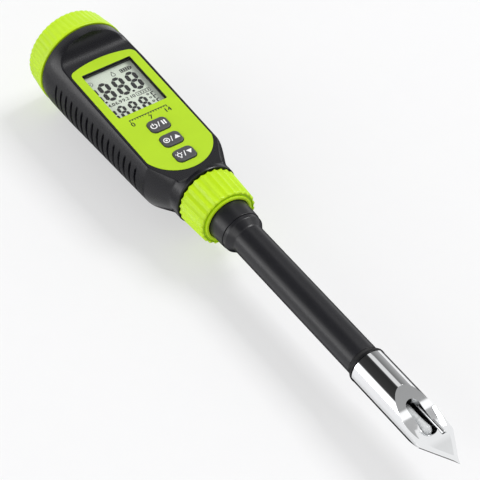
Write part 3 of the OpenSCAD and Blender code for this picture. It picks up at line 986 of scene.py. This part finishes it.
def make_panel_scale():
    """A plain scale under the window: ticks with the figures 0, 7 and 14."""
    low = 0.2
    half = 8.1
    ticks = [[round_rect(0, -5.3, 2 * half + 0.4, 0.34, 0.1, 3)]]
    for k in range(15):
        x = -half + 2 * half * k / 14
        tall = 1.1 if k % 7 == 0 else 0.75
        ticks.append([round_rect(x, -5.3 - tall / 2, 0.36, tall, 0.1, 3)])
    marks("panel_scale", ticks, low, "handle", INK)
    figures = []
    for text, x in (("0", -7.9), ("7", 0), ("14", 7.4)):
        for nudge in (-0.07, 0.07):
            figures.append(numeral(text, x + nudge, -8.75, 2.2, low, "scale_figure"))
    numbers = joined("panel_scale_figures", figures)
    keep("panel_scale_figures", numbers, "handle", INK, sharp=None)


def slash(v):
    return [stroke([(-0.35, v - 1.25), (0.45, v + 1.25)], 0.34)]


def triangle(x, v, size, up):
    tip = size if up else -size
    return [[(x - size, v - tip * 0.6), (x + size, v - tip * 0.6), (x, v + tip)]]


# Where the two signs of a key stand
SIGN_LEFT = -2.15
SIGN_RIGHT = 2.25


def power_signs(v):
    """Standby, and hold as two bars."""
    ring = stroke(arc(SIGN_LEFT, v - 0.1, 1.15, 125, 415, 22), 0.42)
    return [[ring], [round_rect(SIGN_LEFT, v + 0.75, 0.42, 1.4, 0.15, 3)],
            [round_rect(SIGN_RIGHT - 0.5, v, 0.55, 2.3, 0.15, 3)],
            [round_rect(SIGN_RIGHT + 0.5, v, 0.55, 2.3, 0.15, 3)]]


def calibrate_signs(v):
    """A target, and up."""
    return [[disc(SIGN_LEFT, v, 1.3), disc(SIGN_LEFT, v, 0.92)], [disc(SIGN_LEFT, v, 0.48)],
            triangle(SIGN_RIGHT, v - 0.15, 1.2, True)]


def light_signs(v):
    """A lamp with its rays, and down."""
    middle = Vector((SIGN_LEFT, v + 0.1))
    shapes = [[stroke(arc(middle.x, middle.y, 0.8, -60, 240, 20), 0.36)],
              [round_rect(middle.x, v - 0.95, 1.0, 0.34, 0.12, 3)],
              [round_rect(middle.x, v - 1.4, 0.65, 0.3, 0.12, 3)]]
    for degrees in (30, 90, 150):
        ray = Vector((math.cos(math.radians(degrees)), math.sin(math.radians(degrees))))
        shapes.append([stroke([tuple(middle + ray * 1.2), tuple(middle + ray * 1.65)], 0.3)])
    return shapes + [triangle(SIGN_RIGHT, v + 0.15, 1.2, False)]


def make_key_marks():
    """Plain white signs on the keys, two to a key with a slash between them."""
    for name, signs in (("power_button", power_signs), ("calibrate_button", calibrate_signs),
                        ("light_button", light_signs)):
        v = KEYS[name]
        marks(name + "_signs", signs(v) + [slash(v)], KEY_TOP, name, WHITE_INK)


def make_window():
    mesh = plate("window", [window_outline(0.95, 0.5)], -1.35, -0.62, 0.08)
    keep("window", mesh, "handle", LENS, "display_window")


# ---------- cap and collar ----------

def make_cap():
    ribs = 48
    angles = even_angles(ribs * 8)
    bore = SPIGOT_R + 0.1
    back = 17.6
    rows, ring = ring_stack(angles)

    def inside(s, a):
        return bore + 0.5 * thread(s, a, 241.5, 248)

    def outside(s, a):
        along = (s - CAP_FRONT) / (END_S - CAP_FRONT)
        plain = FULL_R + (back - FULL_R) * ease(along) * 0.85
        swell = 0.5 - 0.5 * math.cos(ribs * a)
        return plain - 0.24 * clamp01((s - CAP_FRONT - 1.2) / 0.8) * swell ** 1.4

    ring(249.2, 0)
    ring(249.2, bore - 0.3)
    ring(248.9, bore)
    for s in span(241, 248.5, 0.25)[::-1]:
        ring(s, inside)
    ring(CAP_FRONT + 0.3, bore)
    ring(CAP_FRONT, bore + 0.3)
    ring(CAP_FRONT, FULL_R - 0.4)
    ring(CAP_FRONT + 0.12, FULL_R - 0.12)
    ring(CAP_FRONT + 0.4, FULL_R)
    for s in span(CAP_FRONT + 0.8, END_S - 1.4, 0.4):
        ring(s, outside)
    for k in range(1, 7):
        turn = k / 6 * math.pi / 2
        drop = 1.4 * (1 - math.cos(turn))
        rows.append([polar(outside(END_S - 1.4, a) - drop, END_S - 1.4 + 1.4 * math.sin(turn), a)
                     for a in angles])
    ring(END_S, 12.2)
    ring(END_S - 0.25, 11.9)
    ring(END_S - 0.25, 0)
    mesh = skin("cap", rows)
    keep("cap", mesh, "battery_cap", LIME, "battery_cap", 30)


def make_collar():
    ribs = 26
    front = COLLAR_LIP + 0.7
    bore = NOSE_R + 0.1
    hole = 8.75
    rows, ring = ring_stack(even_angles(ribs * 12))

    def outside(inset):
        def radius(s, a):
            along = (s - front) / (COLLAR_BACK - front)
            crest = abs(2 * ((ribs * a / (2 * math.pi)) % 1) - 1)
            valley = 1 - clamp01(crest / 0.94) ** 1.6
            return 11.9 + (COLLAR_R - 11.9) * along - 0.55 * valley - inset
        return radius

    def inside(s, a):
        return bore + 0.4 * thread(s, a, 141, COLLAR_BACK - 0.6)

    ring(front, outside(0.55))
    ring(front + 0.12, outside(0.2))
    ring(front + 0.45, outside(0))
    for s in span(front + 1, COLLAR_BACK - 0.6, 1.2):
        ring(s, outside(0))
    ring(COLLAR_BACK - 0.15, outside(0.15))
    ring(COLLAR_BACK, outside(0.45))
    ring(COLLAR_BACK, bore + 0.3)
    for s in span(140, COLLAR_BACK - 0.3, 0.25)[::-1]:
        ring(s, inside)
    ring(139.4, bore)
    ring(139.4, hole)
    ring(COLLAR_LIP + 0.25, hole)
    ring(COLLAR_LIP + 0.05, hole + 0.15)
    ring(COLLAR_LIP, hole + 0.4)
    ring(COLLAR_LIP + 0.08, 9.75)
    ring(COLLAR_LIP + 0.3, 10.0)
    ring(front + 0.5, 10.1)
    ring(front + 0.5, 10.75)
    ring(front + 0.1, 10.85)
    ring(front, 10.95)
    mesh = skin("collar", rows, wrap=True)
    keep("collar", mesh, "collar_nut", LIME, "collar_nut", 40)


# ---------- probe ----------

def make_seals():
    for name, node, body, r, s, thick in (
            ("cap_ring_seal", "cap_seal", "handle", 14.9, 241.2, 0.48),
            ("probe_ring_seal", "probe_seal", "probe", 6.74, 145.45, 0.7)):
        circle = [(r + x, s + y) for x, y in arc(0, 0, thick, 0, 345, 23)]
        mesh = turned(name, circle, closed=True)
        keep(name, mesh, body, RUBBER, node, 60)


def make_probe_head():
    """The sleeve under the collar, and the plug tube behind it."""
    points = [(6.85, HEAD_FRONT), (8.35, HEAD_FRONT, 0.25), (8.63, 137.4), (8.63, 139.5),
              (9.8, 139.5, 0.2), (9.8, 141, 0.2), (7.4, 141),
              (7.4, 144.6, 0.1), (6.05, 144.6), (6.05, 146.3), (7.4, 146.3, 0.1),
              (7.4, HEAD_BACK, 0.3), (5.15, HEAD_BACK, 0.15), (5.15, 141), (3, 141),
              (3, 138.1), (6.85, 138.1)]
    mesh = turned("head_sleeve", points, closed=True)
    keep("head_sleeve", mesh, "probe", PROBE, "probe_head")


def make_shaft():
    shaft_r = 6.35
    band_r = 8.1
    points = [(4.6, 38.1), (5.85, 38.1, 0.1), (5.85, RING_BACK, 0.05), (shaft_r, RING_BACK, 0.1),
              (shaft_r, 124.5, 1.5), (band_r, 127.3, 0.7), (band_r, HEAD_FRONT - 0.05, 0.2),
              (6.8, HEAD_FRONT - 0.05), (6.8, 138), (4.6, 138)]
    mesh = turned("shaft", points, closed=True)
    keep("shaft", mesh, "probe", PROBE, "probe_shaft")


def make_ring():
    """The black ring behind the spear, tapered down to the shaft."""
    flare = SPEAR_BACK + 0.6
    back = RING_BACK - 0.05
    steps = 12
    points = [(5.9, SPEAR_BACK + 0.03), (RING_R, SPEAR_BACK + 0.03, 0.12)]
    for i in range(steps + 1):
        down = ease(i / steps)
        points.append((RING_R + (6.4 - RING_R) * down, flare + (back - flare) * i / steps))
    points.append((5.9, back))
    mesh = turned("ring", points, closed=True)
    keep("ring", mesh, "probe", RIM, "shaft_ring")


# Spear: the blades' length and half angle, the slopes above and below them, the hollow-ground
# face, the lands, and the places of the glass, the temperature tube, the pocket and the dish
EDGE_START = 12.5
HALF_POINT = math.atan(SPEAR_R / EDGE_START)
BEVEL = math.radians(27)
RELIEF = math.radians(38)
GRIND_R = 55
GRIND_START = 8
GRIND_Z = 0.9
LAND = 0.32
GLASS_X = -0.6
GLASS_Z = 0.2
SENSOR_X = 3
SENSOR_Z = 1.2
POCKET_HW = 2.65
POCKET_LOW = 14.35
POCKET_HIGH = 28.65
POCKET_DEEP = -2.5
DISH_S = 16.5
DISH_R = 6


def ground_height(s):
    """Height of the hollow-ground face above the axis: level, then a long arc up and out."""
    rise = max(0, s - GRIND_START)
    return GRIND_Z + GRIND_R - math.sqrt(GRIND_R ** 2 - rise ** 2)


def blade_land(s):
    """Depth of the two blades at a station, and of the flat land ground along them."""
    depth = s * math.sin(HALF_POINT)
    return depth, min(LAND, 0.3 * depth)


def bar_radius(s, angle):
    """The round bar, cut to a point by a bevel, a narrow land and a relief on each side."""
    depth, land = blade_land(s)
    up = math.cos(angle)
    flank = abs(math.sin(angle)) * math.cos(HALF_POINT)
    r = SPEAR_R
    for slope, distance in (
            (flank, depth - land),
            (flank * math.sin(BEVEL) + up * math.cos(BEVEL), depth * math.sin(BEVEL)),
            (flank * math.sin(RELIEF) - up * math.cos(RELIEF), depth * math.sin(RELIEF))):
        if slope > 1e-4:
            r = min(r, distance / slope)
    return r


def face_edge(s):
    """Angle at which the ground face meets the bar, found by halving."""
    low = math.radians(2)
    high = math.radians(89.5)
    for _ in range(30):
        middle = (low + high) / 2
        if ground_height(s) / math.cos(middle) < bar_radius(s, middle):
            low = middle
        else:
            high = middle
    return low


def spear_ring(s):
    """One ring of the spear, with a point on each edge of its face and on its blade edges."""
    edge = face_edge(s)
    depth, land = blade_land(s)
    blade = (depth - land) / math.cos(HALF_POINT)
    above = math.atan2(blade, land * math.tan(BEVEL))
    below = math.atan2(blade, -land * math.tan(RELIEF))
    edge = min(edge, above - 0.001)
    right = [edge * k / 16 for k in range(16)]
    right += [edge + (above - edge) * k / 64 for k in range(64)]
    right += [below + (math.pi - below) * k / 64 for k in range(65)]
    angles = right + [-a for a in right[-2:0:-1]]
    points = []
    for a in angles:
        r = bar_radius(s, a)
        if math.cos(a) > 1e-4:
            r = min(r, ground_height(s) / math.cos(a))
        points.append(polar(max(r, 0.002), s, a))
    return points


def slot_outline(half, low, high):
    """A slot with round ends, across x and along the stations."""
    reach = span(low + half, high - half, 0.5)[1:-1]
    return (arc(0, high - half, half, 0, 180, 24) + [(-half, s) for s in reach[::-1]]
            + arc(0, low + half, half, 180, 360, 24) + [(half, s) for s in reach])


def pocket_cut(name, outline, bottom, top):
    """A cutter over an (x, station) outline, whose bottom's height depends on the station."""
    work = bmesh.new()
    foot = [work.verts.new(place(x, s, bottom(s))) for x, s in outline]
    head = [work.verts.new(place(x, s, top)) for x, s in outline]
    bmesh.ops.triangulate(work, faces=[work.faces.new(foot)])
    work.faces.new(head)
    for i in range(len(outline)):
        j = (i + 1) % len(outline)
        work.faces.new((foot[i], foot[j], head[j], head[i]))
    bmesh.ops.recalc_face_normals(work, faces=work.faces)
    return mesh_of(work, name)


def pocket_floor(s):
    """Height of the pocket's floor, which runs down from near the face at the point's end."""
    return max(POCKET_DEEP, 0.7 - 0.75 * (s - POCKET_LOW))


def make_spear():
    """The polished spear, cut away for the glass and the temperature tube, with black painted shade
    inside its pocket.
    """
    rows = [[place(0, 0.02, 0)] * len(spear_ring(1))]
    for s in span(0.12, 14, 0.2) + span(14.2, 35, 0.2) + span(36, SPEAR_BACK - 0.3, 2):
        rows.append(spear_ring(s))
    count = len(rows[0])
    rows.append([polar(SPEAR_R - 0.3, SPEAR_BACK, a) for a in even_angles(count)])
    rows.append([place(0, SPEAR_BACK, 0)] * count)
    mesh = skin("spear", rows)
    dish = [(DISH_R * math.sin(math.radians(a)), DISH_S - DISH_R * math.cos(math.radians(a)))
            for a in range(0, 181, 2)]
    outline = slot_outline(POCKET_HW, POCKET_LOW, POCKET_HIGH)
    cuts = [pocket_cut("pocket", outline, pocket_floor, 12),
            turned("seat", [(0, 37.9), (5.9, 37.9), (5.9, 52), (0, 52)]),
            turned("bore", [(0, 28.6), (4.3, 28.6), (4.3, 38), (0, 38)]),
            turned("mouth", [(0, 24), (POCKET_HW, 24), (POCKET_HW, 30), (0, 30)], z=0.3),
            turned("dish", dish, x=-0.7, z=6.7, sides=180),
            turned("groove", [(0, 12.7), (0.85, 12.7), (0.85, 29), (0, 29)], sides=32,
                   x=SENSOR_X, z=SENSOR_Z)]
    mesh = carved(mesh, cuts)
    keep("spear", mesh, "probe", STEEL, "spear_tip", 24)
    # Black on the faces inside the pocket is painted shade.
    mesh.materials.append(FLAG_AND_SHADE_BLACK)
    for face in mesh.polygons:
        x = face.center.x / MM
        s = (face.center.y - POINT_Y) / MM
        z = (face.center.z - AXIS_Z) / MM
        if abs(x) < POCKET_HW + 0.01 and 17 < s < 28.7 and -2.6 < z < 0.6:
            face.material_index = 1


def make_electrode():
    tube_r = 1.6
    tube = [(tube_r, 22.5, 0.1), (tube_r, 61.5, 0.1), (tube_r - 0.45, 61.5, 0.1),
            (tube_r - 0.45, 22.5, 0.1)]
    mesh = turned("glass_tube", tube, closed=True, sides=64, x=GLASS_X, z=GLASS_Z)
    keep("glass_tube", mesh, "probe", GLASS, "electrode_tube")
    bulb_s = 18.1
    turns = [math.radians(5 * k) for k in range(19)]
    outer = [(1.95 * math.sin(a), bulb_s - 2.3 * math.cos(a)) for a in turns]
    inner = [(1.6 * math.sin(a), bulb_s - 1.95 * math.cos(a)) for a in turns[::-1]]
    neck = [(1.75, 20.2), (1.62, 22.4), (1.2, 22.4), (1.4, 20.2)]
    mesh = turned("glass_bulb", outer + neck + inner, sides=64, x=GLASS_X, z=GLASS_Z)
    keep("glass_bulb", mesh, "probe", GLASS, "electrode_bulb", 50)
    rod = [(0, 12.9), (0.75, 12.9, 0.25), (0.75, 60.5, 0.1), (0, 60.5)]
    mesh = turned("sensor_tube", rod, sides=32, x=SENSOR_X, z=SENSOR_Z)
    keep("sensor_tube", mesh, "probe", SENSOR, "temperature_tube", 50)


def dress_nodes():
    """Gives every CAD node that still shows its own material."""
    for name, material in NODE_MATERIALS.items():
        node = NODES[name]
        for index in range(len(node.material_slots)):
            node.material_slots[index].material = material


make_camera()
make_stage()
make_handle()
make_panel()
make_keys()
make_display()
make_panel_scale()
make_key_marks()
make_window()
make_cap()
make_collar()
make_seals()
make_probe_head()
make_shaft()
make_ring()
make_spear()
make_electrode()
dress_nodes()
